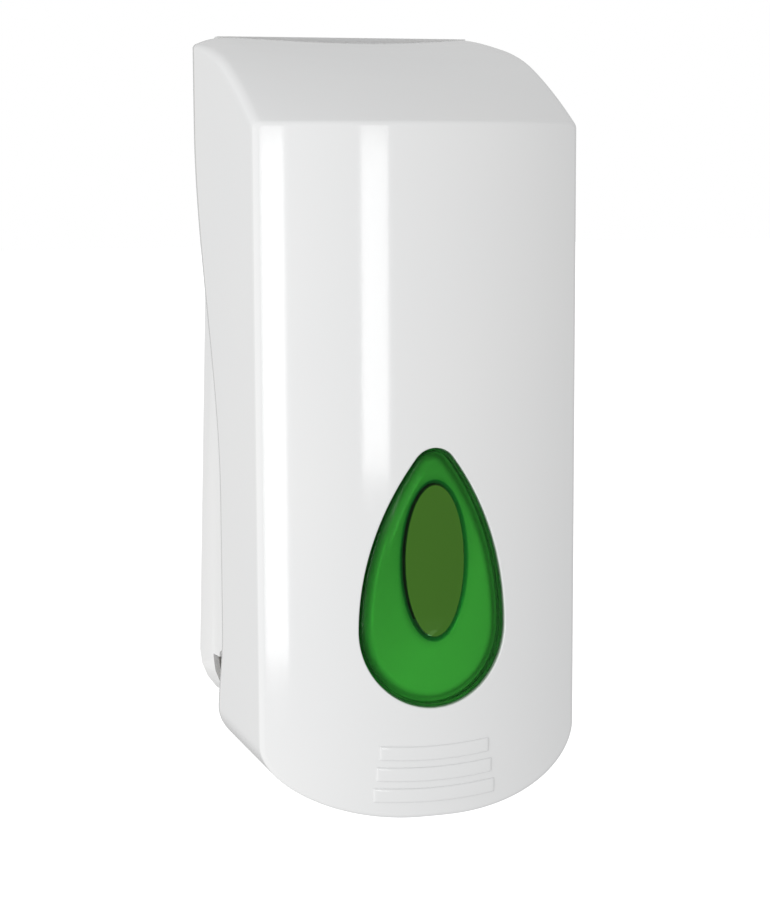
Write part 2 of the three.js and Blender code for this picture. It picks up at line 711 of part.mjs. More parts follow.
// ---- pump ----
function pumpBody() {
  const barrel = rodY(0, PUMP_Z, PUMP_BACK_Y, PUMP_FRONT_Y, PUMP_R, 28);
  const flange = box([-22, 22], [-22.5, PUMP_BACK_Y], [PUMP_Z - 6, PUMP_Z + 6]);
  const inletNeck = rodZ(0, PORT_Y, PUMP_Z + 6, -69.5, 6, 20);
  const inletFlange = rodZ(0, PORT_Y, -70, -68, 8.5, 24);
  const outletNeck = rodZ(0, PORT_Y, -97, PUMP_Z - 6, 5.4, 20);
  const bore = rodY(0, PUMP_Z, PUMP_BACK_Y - 2, PUMP_FRONT_Y - 1, BORE_R, 28);
  const inlet = rodZ(0, PORT_Y, PUMP_Z, -67, 3.2, 16);
  const outlet = rodZ(0, PORT_Y, -98, PUMP_Z, 3.6, 16);
  const holes = bothSides((side) => rodY(side * PUMP_SCREW_X, PUMP_Z, -19, -24, SCREW_R + GAP, 12));
  return cut(joined(barrel, flange, inletNeck, inletFlange, outletNeck), bore, inlet, outlet, holes);
}

function glandNut() {
  const outside = rodY(0, PUMP_Z, -45, -54, 12, 12);
  const thread = rodY(0, PUMP_Z, -44, PUMP_FRONT_Y - GAP, PUMP_R + GAP, 28);
  return cut(outside, thread, rodY(0, PUMP_Z, -49, -55, 4 + GAP, 20));
}

function pistonRod() {
  const profile = [[0, -72.2], [4, -72.2], [4, -46], [2.4, -46], [2.4, -40.5], [0, -40.5]];
  return latheY(profile, 0, PUMP_Z, 20);
}

function pistonSeal() {
  const lips = [[7.1, -45.7], [7.1, -44.6], [6.2, -43.4], [7.1, -42.2], [7.1, -41]];
  const profile = [[2.7, -45.7], ...lips, [2.7, -41]];
  return latheY([...profile, profile[0]], 0, PUMP_Z, 24);
}

function pistonHead() {
  const profile = [
    [0, HEAD_Y],
    [4, HEAD_Y + 0.35],
    [7, HEAD_Y + 1.05],
    [9, HEAD_Y + 2],
    [9, HEAD_Y + 3.4],
    [0, HEAD_Y + 3.4],
  ];
  return latheY(profile, 0, PUMP_Z, 28);
}

class Helix extends THREE.Curve {
  constructor(radius, back, front, turns) {
    super();
    Object.assign(this, { radius, back, front, turns });
  }

  getPoint(t) {
    const angle = 2 * Math.PI * this.turns * t;
    const y = this.back + (this.front - this.back) * t;
    const x = this.radius * Math.cos(angle);
    return new THREE.Vector3(x, y, PUMP_Z + this.radius * Math.sin(angle));
  }
}

function returnSpring() {
  return tube(new Helix(6.2, -55, -71.4, 5), 0.6, 6, 60);
}

function spoutPath() {
  return new THREE.CatmullRomCurve3([
    new THREE.Vector3(0, PORT_Y, -97.3),
    new THREE.Vector3(0, PORT_Y, -100.5),
    new THREE.Vector3(0, PORT_Y - 3, -104.5),
    new THREE.Vector3(0, PORT_Y - 9, -108),
    new THREE.Vector3(0, PORT_Y - 15, -110.5),
    new THREE.Vector3(0, SPOUT_Y, -113.5),
    new THREE.Vector3(0, SPOUT_Y, SPOUT_TIP_Z),
  ]);
}

function spout() {
  const path = spoutPath();
  const outside = tube(path, 5, 12, 9);
  const tip = rodZ(0, SPOUT_Y, SPOUT_TIP_Z, -112, 6, 20);
  const room = rodZ(0, SPOUT_Y, SPOUT_TIP_Z - 1, -113, 3.8, 16);
  return cut(outside.add(tip), tube(path, 3, 10, 9), room);
}

function outletValve() {
  const profile = [[2.2, -117.6], [3.4, -117.6], [3.4, -113.6], [1.6, -113.6], [1.6, -115]];
  return latheZ([...profile, profile[0]], 0, SPOUT_Y, 16);
}

function spoutNut() {
  return cut(rodZ(0, PORT_Y, -100.2, -92.5, 8, 10), rodZ(0, PORT_Y, -101, -92, 5.75, 20));
}

function inletValve() {
  const profile = [[0, -72], [0.9, -72], [0.9, -70.2], [2.7, -69.6], [2.7, -69], [0, -69]];
  return latheZ(profile, 0, PORT_Y, 16);
}

function tankGasket() {
  return cut(rodZ(0, PORT_Y, -67.7, -66.3, 8.5, 24), rodZ(0, PORT_Y, -69, -65, 4, 20));
}

// ---- lock in the shelf under the scoop ----
function lockBush() {
  const profile = [[5.3, 101.2], [6.8, 101.2], [6.8, 106.8], [8.5, 106.8], [8.5, 108.2], [5.3, 108.2]];
  return latheZ([...profile, profile[0]], 0, LOCK_Y, 28);
}

function lockNut() {
  return cut(rodZ(0, LOCK_Y, 101.6, 104, 9.4, 6), rodZ(0, LOCK_Y, 100, 105, 7.1, 24));
}

function lockBarrel() {
  const keyway = box([-2.6, 2.6], [LOCK_Y - 0.6, LOCK_Y + 0.6], [106, 110]);
  return cut(rodZ(0, LOCK_Y, 99.8, 108.8, 5, 28), keyway, rodZ(0, LOCK_Y, 99, 103.8, CAM_SCREW_R + GAP, 12));
}

function lockCam() {
  const arm = box([0, CAM_REACH], [LOCK_Y - 3, LOCK_Y + 3], [96.8, 99.4]);
  const hook = box([CAM_REACH - 2.5, CAM_REACH], [LOCK_Y - 3, LOCK_Y + 3], [99.3, 103.8]);
  const hub = rodZ(0, LOCK_Y, 96.8, 99.4, 5.4, 24);
  return cut(joined(arm, hook, hub), rodZ(0, LOCK_Y, 96, 100, CAM_SCREW_R + GAP, 12));
}

// ---- assembly ----
piece("back_plate", backPlate(), PALE);
piece("tank", tank(), AMBER);
piece("tank_screw_left", screwY(-TANK_SCREW.x, TANK_SCREW.z, -10.6, -2.4, SCREW_R, 3), STEEL);
piece("tank_screw_right", screwY(TANK_SCREW.x, TANK_SCREW.z, -10.6, -2.4, SCREW_R, 3), STEEL);
piece("tank_gasket", tankGasket(), RUBBER);
piece("lid_hinge_pin", rodX(LID_HINGE_Y, LID_HINGE_Z, -19.4, 19.4, LID_PIN_R, 14), STEEL);
piece("tank_lid", tankLid(), GREY);
piece("lid_seal", lidSeal(), RUBBER);

piece("pump_body", pumpBody(), PALE);
piece("pump_screw_left", screwY(-PUMP_SCREW_X, PUMP_Z, -24.6, -10, SCREW_R, 3), STEEL);
piece("pump_screw_right", screwY(PUMP_SCREW_X, PUMP_Z, -24.6, -10, SCREW_R, 3), STEEL);
piece("gland_nut", glandNut(), GREY);
piece("inlet_valve", inletValve(), RUBBER);
piece("piston_rod", pistonRod(), PALE);
piece("piston_seal", pistonSeal(), RUBBER);
piece("piston_head", pistonHead(), GREY);
piece("return_spring", returnSpring(), STEEL);
piece("spout_nut", spoutNut(), GREY);
piece("spout", spout(), PALE);
piece("outlet_valve", outletValve(), RUBBER);

piece("lock_bush", lockBush(), STEEL);
piece("lock_nut", lockNut(), STEEL);
piece("lock_barrel", lockBarrel(), STEEL);
piece("lock_cam", lockCam(), STEEL);
piece("cam_screw", screwZ(0, LOCK_Y, 94.7, 103.4, CAM_SCREW_R, 2.8), STEEL);

piece("push_yoke", pushYoke(), PALE);
piece("push_pad", pushPad(), RUBBER);
piece("push_pin_left", pivotPin(-1, PUSH_Y, PUSH_Z, 49), STEEL);
piece("push_pin_right", pivotPin(1, PUSH_Y, PUSH_Z, 49), STEEL);
piece("cover_pin_left", pivotPin(-1, COVER_HINGE_Y, COVER_HINGE_Z, 49.1), STEEL);
piece("cover_pin_right", pivotPin(1, COVER_HINGE_Y, COVER_HINGE_Z, 49.1), STEEL);

piece("cover_shell", coverShell(), WHITE);
piece("window_lens", windowLens(), GREEN);
piece("window_retainer", windowRetainer(), PALE);
retainerPlaces().forEach(([x, z], i) => {
  const tip = -DEPTH + POCKET_DEPTH + 0.9;
  piece(`retainer_screw_${i + 1}`, screwY(x, z, RETAINER_Y + 4.1, tip, SMALL_SCREW_R, 2.4), STEEL);
});
piece("catch_plate", catchPlate(), STEEL);
piece("catch_screw_left", screwZ(-CATCH_SCREW.x, CATCH_SCREW.y, 104.9, 112.9, SCREW_R, 2.8), STEEL);
piece("catch_screw_right", screwZ(CATCH_SCREW.x, CATCH_SCREW.y, 104.9, 112.9, SCREW_R, 2.8), STEEL);

export default dispenser;
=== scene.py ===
import json
import math

import bmesh
import bpy
import numpy as np
from mathutils import Matrix, Vector


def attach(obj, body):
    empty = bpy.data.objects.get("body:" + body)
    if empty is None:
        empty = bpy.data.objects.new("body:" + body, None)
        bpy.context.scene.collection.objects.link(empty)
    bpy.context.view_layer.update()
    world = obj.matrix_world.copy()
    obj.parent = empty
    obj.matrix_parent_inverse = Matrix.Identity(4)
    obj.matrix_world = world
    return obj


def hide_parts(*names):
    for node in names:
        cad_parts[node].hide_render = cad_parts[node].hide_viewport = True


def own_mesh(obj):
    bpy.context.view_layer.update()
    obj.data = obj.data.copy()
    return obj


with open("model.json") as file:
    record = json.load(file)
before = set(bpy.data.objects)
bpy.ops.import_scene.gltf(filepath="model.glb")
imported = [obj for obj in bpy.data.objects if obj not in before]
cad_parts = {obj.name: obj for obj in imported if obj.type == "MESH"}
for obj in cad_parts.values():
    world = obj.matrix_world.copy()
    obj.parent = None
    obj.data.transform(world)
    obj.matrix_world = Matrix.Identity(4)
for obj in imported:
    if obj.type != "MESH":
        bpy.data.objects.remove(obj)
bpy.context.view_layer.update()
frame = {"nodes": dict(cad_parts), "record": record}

MM = 0.001

# ---- driving dimensions, millimetres, in the frame's own axes ----
# SEAT_EDGE and GROOVE_FLOOR hold (teardrop's growth, extra depth) for each ring
HALF_WIDTH = 52.0
DEPTH = 98.0
FRONT_SAGITTA = 15.1
FRONT_RADIUS = (HALF_WIDTH**2 + FRONT_SAGITTA**2) / (2 * FRONT_SAGITTA)
EDGE_Z = 90.0
TOP_RISE = 29.4
TOP_POWER = 1.72
CORNER_DROP = 2.8  # the top falls this much towards its rear corners
CORNER_DROP_X = 40.0
CORNER_FRONT_R = 2.5
CORNER_SWELL = 0.2
CORNER_CRISP = 1.7
CORNER_LEAST_R = 0.3
BOTTOM_Z = -123.2
FLAT_BOTTOM = 5.0
FLAT_SHARE = 0.08  # of the bottom's outline points lie on its flat middle
CORNER_HEIGHT = 22.8
WALL = 2.2
TOP_WALL_FACTOR = 1.15  # the sloping top is measured upright, so its wall is taken thicker
INSIDE_CORNER_CUT = 1.4
INSIDE_ROUND = 1.8
COVER_REAR_Y = -3.2
SIDE_REAR_Y = -33.5
SIDE_SWEEP = 120.0
SIDE_RETURN = 7.0
RETURN_Z = -74.0
RETURN_SWEEP = 30.0
SCOOP_HALF = 45.0
SCOOP_DEPTH = 20.5
OUTLET_HALF = 30.0
OUTLET_FRONT_Y = -72.0
OUTLET_BLEND = 3.0
REAR_ROUND = 0.5

DROP_HALF = 23.4
DROP_WIDEST_Z = -64.0
DROP_LOWER = 24.4
DROP_UPPER = 55.8
DROP_FLANK_RADIUS = 88.0
DROP_TIP_RADIUS = 7.1
POCKET_BACK_Y = -87.8
POCKET_WALL = 1.8
POCKET_LIP = 0.55
SEAT_INSET = 2.3
GROOVE_INSET = 5.2
SEAT_EDGE = [(-4.2, 0.25), (-3.3, 0.8), (-2.6, 1.5), (-2.1, 2.2), (-1.7, 2.6)]
GROOVE_FLOOR = [(-1.2, 0.0), (-0.2, 0.0), (0.2, -0.25)]
LENS_INSET = 0.4
LENS_BACK = 1.3
LENS_ROUND = 1.5
LENS_ROUND_DEPTH = 1.7
SIGHT_Z = -42.8
SIGHT_HALF = 10.7
SIGHT_TALL = 24.8
SIGHT_LINE = 1.3
SIGHT_LINE_OUT = 0.3
WINDOW_CENTRE = (0.0, -50.0)  # every ring on the front is star-shaped about this point

RIB_TOP_Z = -99.7
RIB_PITCH = 6.6
RIB_HEIGHT = 4.4
RIB_SAG = 0.8
RIB_HALVES = (17.8, 18.8, 19.8)
RIB_EDGE = [(0.0, -0.5), (0.0, 0.15), (0.12, 0.38), (0.4, 0.51), (0.8, 0.55)]  # (in, out) from an edge
RIB_END = [(0.0, -1.2), (0.0, -0.45), (0.1, -0.15), (0.35, -0.04), (0.8, 0.0)]  # (in, sink) from an end
RIB_STRAIGHT = 1.6
RIB_STEPS = 41

SPRING_RADIUS = 6.2
SPRING_WIRE = 0.6
SPRING_BACK_Y = -55.0
SPRING_FRONT_Y = -71.4
SPRING_TURNS = 5
SPRING_Z = -82.0

GAP = 0.3
EDGE_SIDE_R = 1.5
EDGE_TOP_R = 1.0


# ---- mesh helpers ----
def smooth(t):
    t = np.clip(t, 0.0, 1.0)
    return t * t * (3 - 2 * t)


def new_object(name, verts, faces, body, material):
    mesh = bpy.data.meshes.new(name)
    mesh.from_pydata([tuple(v) for v in np.asarray(verts) * MM], [], faces)
    mesh.validate()
    obj = bpy.data.objects.new(name, mesh)
    bpy.context.scene.collection.objects.link(obj)
    mesh.polygons.foreach_set("use_smooth", [True] * len(mesh.polygons))
    mesh.materials.append(material)
    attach(obj, body)
    return obj


def ring_faces(ring_count, size, closed_rows):
    """Quads between rings of equal size; closed_rows also joins the last ring to the first."""
    faces = []
    last = ring_count if closed_rows else ring_count - 1
    for r in range(last):
        a0 = r * size
        b0 = ((r + 1) % ring_count) * size
        for i in range(size):
            j = (i + 1) % size
            faces.append((a0 + i, b0 + i, b0 + j, a0 + j))
    return faces


def fix_normals(obj):
    mesh = bmesh.new()
    mesh.from_mesh(obj.data)
    bmesh.ops.recalc_face_normals(mesh, faces=mesh.faces)
    mesh.to_mesh(obj.data)
    mesh.free()
    return obj


# ---- the cover's shape ----
def front_y(x, inset=0.0):
    return -DEPTH + FRONT_RADIUS - np.sqrt((FRONT_RADIUS - inset) ** 2 - x * x)


def top_z(x, y):
    front = front_y(x)
    t = np.clip((y - front) / -front, 0.0, 1.0)
    rise = TOP_RISE * (1 - (1 - t) ** TOP_POWER)
    side = np.clip((np.abs(x) - CORNER_DROP_X) / (HALF_WIDTH - CORNER_DROP_X), 0, 1)
    return EDGE_Z + rise - CORNER_DROP * side**2 * smooth((t - 0.45) / 0.45)


def side_rear_y(z):
    sweep = (SIDE_REAR_Y - COVER_REAR_Y) * smooth((EDGE_Z - z) / SIDE_SWEEP)
    return COVER_REAR_Y + sweep + SIDE_RETURN * smooth((RETURN_Z - z) / RETURN_SWEEP)


# points around the outline: bottom, right side, right corner, top, left corner, left side
BOTTOM_STEPS = 44
SIDE_STEPS = 70
CORNER_STEPS = 9
TOP_STEPS = 32
# rings along the front, along the depth outside and inside, and along the front's inside
FRONT_STEPS = 34
DEPTH_STEPS = 34
INSIDE_STEPS = 24
INSIDE_FRONT_STEPS = 16


def outline_parameters():
    """(segment, position along it), middle of the bottom to middle of the top, right half."""
    half = [("bottom", i / BOTTOM_STEPS) for i in range(BOTTOM_STEPS)]
    half += [("side", i / SIDE_STEPS) for i in range(SIDE_STEPS)]
    half += [("corner", i / CORNER_STEPS) for i in range(CORNER_STEPS)]
    half += [("top", i / TOP_STEPS) for i in range(TOP_STEPS + 1)]
    return half


HALF_POINTS = outline_parameters()


def corner_radius(depth, shrink):
    """Radius of the edge between a side and the top: soft at the front, crisp at the wall."""
    t = (DEPTH + depth - FRONT_SAGITTA) / (DEPTH - FRONT_SAGITTA)
    swell = CORNER_SWELL * float(smooth(t / 0.35))
    soft = CORNER_FRONT_R + swell - CORNER_CRISP * float(smooth((t - 0.6) / 0.4))
    return max(soft - shrink, CORNER_LEAST_R)


def section(y, inset=0.0, shrink=0.0):
    """Cross-section of the cover, as x and z. y holds one depth for each point of the half."""
    points = []
    half = HALF_WIDTH - inset
    wide = half - FLAT_BOTTOM
    tall = CORNER_HEIGHT - inset
    shoulder_z = BOTTOM_Z + CORNER_HEIGHT
    lower = inset * TOP_WALL_FACTOR
    for (kind, u), depth in zip(HALF_POINTS, y):
        corner = corner_radius(depth, shrink)
        if kind == "bottom":
            swing = u * (1 + FLAT_SHARE)
            if swing < FLAT_SHARE:
                points.append((FLAT_BOTTOM * swing / FLAT_SHARE, BOTTOM_Z + inset))
                continue
            angle = math.pi / 2 * (swing - FLAT_SHARE)
            x = FLAT_BOTTOM + wide * math.sin(angle)
            points.append((x, BOTTOM_Z + inset + tall * (1 - math.cos(angle))))
        elif kind == "side":
            high = float(top_z(half, depth)) - lower - corner
            points.append((half, shoulder_z + (high - shoulder_z) * u))
        elif kind == "corner":
            angle = math.pi / 2 * u
            x = half - corner * (1 - math.cos(angle))
            high = float(top_z(x, depth)) - lower
            points.append((x, high - corner * (1 - math.sin(angle))))
        else:
            x = (half - corner) * (1 - u)
            points.append((x, float(top_z(x, depth)) - lower))
    return np.array(points)


def whole(half):
    """Mirrors half an outline (rows of x, y, z) into the whole ring."""
    left = half[1:-1][::-1].copy()
    left[:, 0] *= -1
    return np.vstack([half, left])


def depth_ring(y, inset=0.0, shrink=0.0):
    flat = section(y, inset, shrink)
    return np.column_stack([flat[:, 0], y, flat[:, 1]])


def front_edge(inset=0.0, shrink=0.0):
    """The sharp outline of the front: x, y, z of each point."""
    y = np.full(len(HALF_POINTS), front_y(HALF_WIDTH - inset))
    for _ in range(6):
        flat = section(y, inset, shrink)
        y = front_y(flat[:, 0], inset)
    return np.column_stack([flat[:, 0], y, flat[:, 1]])


def inward(flat, distance):
    """Moves a half outline (x, z) inwards by one distance for each point."""
    ring = np.vstack([[-flat[1][0], flat[1][1]], flat, [-flat[-2][0], flat[-2][1]]])
    tangent = ring[2:] - ring[:-2]
    tangent /= np.linalg.norm(tangent, axis=1)[:, None]
    normal = np.column_stack([-tangent[:, 1], tangent[:, 0]])
    for i, (kind, u) in enumerate(HALF_POINTS):
        if kind == "corner":
            angle = math.pi / 2 * u
            normal[i] = (-math.cos(angle), -math.sin(angle))
        elif kind == "top":
            normal[i] = (0.0, -1.0)
        elif kind == "side":
            normal[i] = (-1.0, 0.0)
    return flat + normal * distance[:, None]


def rear_depth(flat):
    """How far back each point of the half outline goes: side sweep, scoop and outlet cut-out."""
    depth = []
    for (kind, _), (x, z) in zip(HALF_POINTS, flat):
        if kind == "bottom":
            beside = smooth((abs(x) - (OUTLET_HALF - OUTLET_BLEND / 2)) / OUTLET_BLEND)
            depth.append(OUTLET_FRONT_Y + (float(side_rear_y(z)) - OUTLET_FRONT_Y) * beside)
        elif kind == "top" and abs(x) < SCOOP_HALF:
            depth.append(COVER_REAR_Y - SCOOP_DEPTH * (1 - (x / SCOOP_HALF) ** 2))
        else:
            depth.append(float(side_rear_y(z)))
    return np.array(depth)


def rear_edge(inset=0.0, shrink=0.0):
    y = np.full(len(HALF_POINTS), COVER_REAR_Y)
    for _ in range(8):
        flat = section(y, inset, shrink)
        y = rear_depth(flat)
    return y


def teardrop_dense(grow=0.0, count=900):
    """The teardrop outline in x and z, anticlockwise from the lowest point."""
    flank_x = DROP_HALF - DROP_FLANK_RADIUS
    tip_z = DROP_UPPER - DROP_TIP_RADIUS
    join = math.atan2(tip_z, -flank_x)
    a = np.linspace(-math.pi / 2, 0, count // 3)
    lower = np.column_stack([(DROP_HALF + grow) * np.cos(a), (DROP_LOWER + grow) * np.sin(a)])
    a = np.linspace(0, join, count // 3)[1:]
    r = DROP_FLANK_RADIUS + grow
    flank = np.column_stack([flank_x + r * np.cos(a), r * np.sin(a)])
    a = np.linspace(join, math.pi / 2, count // 6)[1:]
    r = DROP_TIP_RADIUS + grow
    tip = np.column_stack([r * np.cos(a), tip_z + r * np.sin(a)])
    half = np.vstack([lower, flank, tip])
    left = half[1:-1][::-1] * (-1, 1)
    return np.vstack([half, left]) + (0, DROP_WIDEST_Z)


def oval_dense(grow=0.0, count=720):
    a = np.linspace(-math.pi / 2, 1.5 * math.pi, count, endpoint=False)
    x = (SIGHT_HALF + grow) * np.cos(a)
    return np.column_stack([x, SIGHT_Z + (SIGHT_TALL + grow) * np.sin(a)])


def at_angles(dense, angles):
    """The points of a dense outline that lie at the given angles about the window's centre."""
    rel = dense - WINDOW_CENTRE
    own = np.unwrap(np.arctan2(rel[:, 1], rel[:, 0]))
    own = np.append(own, own[0] + 2 * math.pi)
    radius = np.append(np.hypot(*rel.T), math.hypot(*rel[0]))
    wanted = own[0] + np.mod(angles - own[0], 2 * math.pi)
    r = np.interp(wanted, own, radius)
    return np.column_stack([r * np.cos(angles), r * np.sin(angles)]) + WINDOW_CENTRE


def on_front(flat, inset=0.0):
    return np.column_stack([flat[:, 0], front_y(flat[:, 0], inset), flat[:, 1]])


def at_depth(flat, y):
    return np.column_stack([flat[:, 0], np.full(len(flat), y), flat[:, 1]])


def rounded_between(a, corner, b, steps, weight=0.75):
    """Rings that turn from a to b round a sharp corner, without a itself."""
    rings = []
    for i in range(1, steps + 1):
        t = i / steps
        w = np.array([(1 - t) ** 2, 2 * t * (1 - t) * weight, t * t])
        rings.append((w[0] * a + w[1] * corner + w[2] * b) / w.sum())
    return rings


def edge_rounding():
    """Radius of the edge round the front, for each point of the half outline."""
    radius = []
    for kind, u in HALF_POINTS:
        if kind == "corner":
            radius.append(EDGE_SIDE_R + (EDGE_TOP_R - EDGE_SIDE_R) * u)
        elif kind == "top":
            radius.append(EDGE_TOP_R)
        else:
            radius.append(EDGE_SIDE_R)
    return np.array(radius)


def angles_of(flat):
    rel = flat - WINDOW_CENTRE
    return np.arctan2(rel[:, 1], rel[:, 0])


def build_cover(material):
    rounding = edge_rounding()
    edge = front_edge()
    a_flat = inward(edge[:, [0, 2]], rounding)
    a_ring = whole(on_front(a_flat))
    e_ring = whole(edge)
    b_y = front_y(edge[:, 0]) + rounding
    b_ring = whole(depth_ring(b_y))
    angles = np.unwrap(angles_of(a_ring[:, [0, 2]]))

    def drop(grow):
        return at_angles(teardrop_dense(grow), angles)

    def oval(grow):
        return at_angles(oval_dense(grow), angles)

    rings = []
    # from the sight hole outwards: the seat behind the window, the skirt's groove, the pocket's wall
    pocket = drop(GAP)
    rings.append(on_front(oval(-1.0), SEAT_INSET + 0.4))
    rings.append(on_front(oval(-0.9), SEAT_INSET))
    for t in (0.25, 0.5, 0.75, 1.0):
        rings.append(on_front(oval(-0.9) * (1 - t) + drop(-5.2) * t, SEAT_INSET))
    for grow, depth in SEAT_EDGE:
        rings.append(on_front(drop(grow), SEAT_INSET + depth))
    for grow, depth in GROOVE_FLOOR:
        rings.append(on_front(drop(grow), GROOVE_INSET + depth))
    start = on_front(pocket, GROOVE_INSET - 0.7)
    rings.append(start)
    lip = on_front(pocket, POCKET_LIP)
    for t in (0.33, 0.66, 1.0):
        rings.append(start * (1 - t) + lip * t)
    inner = drop(GAP + POCKET_LIP)
    rings += rounded_between(lip, on_front(pocket), on_front(inner), 4)
    # the bowed front
    outer = a_ring[:, [0, 2]]
    front_from = len(rings) - 1
    for i in range(1, FRONT_STEPS):
        t = i / FRONT_STEPS
        rings.append(on_front(inner * (1 - t) + outer * t))
    rings.append(a_ring)
    front_to = len(rings)
    rings += rounded_between(a_ring, e_ring, b_ring, 6)
    # sides, bottom and top, back to the rear edge
    rear_y = rear_edge()
    for i in range(1, DEPTH_STEPS + 1):
        t = i / DEPTH_STEPS
        rings.append(whole(depth_ring(b_y + (rear_y - REAR_ROUND - b_y) * t)))
    # rear edge, then the inside
    in_rear = rear_edge(WALL, INSIDE_CORNER_CUT)
    outer_end = whole(depth_ring(rear_y))
    inner_end = whole(depth_ring(in_rear, WALL, INSIDE_CORNER_CUT))
    for t in (0.28, 0.72):
        rings.append(outer_end * (1 - t) + inner_end * t)
    in_edge = front_edge(WALL, INSIDE_CORNER_CUT)
    in_b_y = in_edge[:, 1] + INSIDE_ROUND
    for i in range(INSIDE_STEPS + 1):
        t = i / INSIDE_STEPS
        y = in_rear - REAR_ROUND + (in_b_y - in_rear + REAR_ROUND) * t
        rings.append(whole(depth_ring(y, WALL, INSIDE_CORNER_CUT)))
    in_flat = inward(in_edge[:, [0, 2]], np.full(len(in_edge), INSIDE_ROUND))
    in_a = whole(on_front(in_flat, WALL))
    rings += rounded_between(rings[-1], whole(in_edge), in_a, 4)
    block = drop(GAP + POCKET_WALL)
    for i in range(1, INSIDE_FRONT_STEPS + 1):
        t = i / INSIDE_FRONT_STEPS
        rings.append(on_front(in_a[:, [0, 2]] * (1 - t) + block * t, WALL))
    rings.append(at_depth(block, POCKET_BACK_Y - 0.3))
    rings.append(at_depth(drop(GAP + POCKET_WALL - 0.3), POCKET_BACK_Y))
    rings.append(at_depth(oval(4.4), POCKET_BACK_Y))
    # the sight hole's flared wall
    back = at_depth(oval(4.2), POCKET_BACK_Y - 0.3)
    edge_in = on_front(oval(-0.9), SEAT_INSET + 0.8)
    for t in (0.0, 0.33, 0.66, 1.0):
        rings.append(back * (1 - t) + edge_in * t)
    faces = ring_faces(len(rings), len(rings[0]), True)
    verts = np.vstack(rings)
    cover = new_object("cover_skin", verts, faces, "cover", material)
    fix_normals(cover)
    # the bowed front is a true cylinder, so its normals are set exactly
    normals = np.zeros((len(rings), len(rings[0]), 3))
    for r in range(front_from, front_to):
        normals[r] = (rings[r] - (0.0, FRONT_RADIUS - DEPTH, 0.0)) * (1, 1, 0) / FRONT_RADIUS
    cover.data.normals_split_custom_set_from_vertices(normals.reshape(-1, 3).tolist())
    return cover


def build_ribs(material):
    """Three raised finger ribs, each a smooth bar sunk a little into the front."""
    for row, half in enumerate(RIB_HALVES):
        top = RIB_TOP_Z - RIB_PITCH * row
        profile = RIB_EDGE + [(RIB_HEIGHT - v, h) for v, h in reversed(RIB_EDGE)]
        rings = []
        along = [(-half + d, sink) for d, sink in RIB_END]
        along += [(x, 0.0) for x in np.linspace(-half + RIB_STRAIGHT, half - RIB_STRAIGHT, RIB_STEPS)]
        along += [(half - d, sink) for d, sink in reversed(RIB_END)]
        for x, sink in along:
            ring = []
            for v, height in profile:
                z = top - RIB_SAG * (1 - (x / half) ** 2) - v
                out = height + sink if height > 0 else height
                ring.append((x, float(front_y(x)) - out, z))
            rings.append(ring)
        count = len(profile)
        verts = [p for ring in rings for p in ring]
        faces = ring_faces(len(rings), count, False)
        faces += [tuple(range(count)), tuple(range(len(verts) - count, len(verts)))]
        rib = new_object(f"grip_rib_{row + 1}", verts, faces, "cover", material)
        fix_normals(rib)


def build_lens(material):
    """The green window: a thin bowed pane with a rounded rim and a short skirt behind it."""
    angles = np.linspace(-math.pi / 2, 1.5 * math.pi, 360, endpoint=False)

    def drop(grow):
        return at_angles(teardrop_dense(grow), angles)

    foot_inset = GROOVE_INSET - GAP
    rings = []
    centre = np.array(WINDOW_CENTRE)
    pane = drop(-LENS_ROUND)
    for t in (0.04, 0.15, 0.3, 0.45, 0.6, 0.75, 0.88):
        rings.append(on_front(centre + (pane - centre) * t, LENS_INSET))
    rim_start = on_front(pane, LENS_INSET)
    rim_corner = on_front(drop(0), LENS_INSET + 0.05)
    rim_end = on_front(drop(0), LENS_ROUND_DEPTH)
    rings.append(rim_start)
    rings += rounded_between(rim_start, rim_corner, rim_end, 7, 1.0)
    foot = on_front(drop(0), foot_inset)
    for t in (0.3, 0.6, 0.92):
        rings.append(rim_end * (1 - t) + foot * t)
    rings.append(on_front(drop(-0.2), foot_inset))
    rings.append(on_front(drop(-0.7), foot_inset))
    foot_in = on_front(drop(-0.9), foot_inset - 0.3)
    rings.append(foot_in)
    root = on_front(drop(-0.9), LENS_BACK + 0.4)
    for t in (0.35, 0.7, 1.0):
        rings.append(foot_in * (1 - t) + root * t)
    behind = drop(-1.3)
    rings.append(on_front(behind, LENS_BACK))
    for t in (0.8, 0.6, 0.4, 0.2, 0.05):
        rings.append(on_front(centre + (behind - centre) * t, LENS_BACK))
    size = len(rings[0])
    verts = list(np.vstack(rings))
    faces = ring_faces(len(rings), size, False)
    front_centre = len(verts)
    verts.append(np.array([centre[0], float(front_y(centre[0], LENS_INSET)), centre[1]]))
    back_centre = len(verts)
    verts.append(np.array([centre[0], float(front_y(centre[0], LENS_BACK)), centre[1]]))
    last = (len(rings) - 1) * size
    for i in range(size):
        j = (i + 1) % size
        faces.append((front_centre, i, j))
        faces.append((back_centre, last + j, last + i))
    lens = new_object("window_glass", verts, faces, "cover", material)
    return fix_normals(lens)


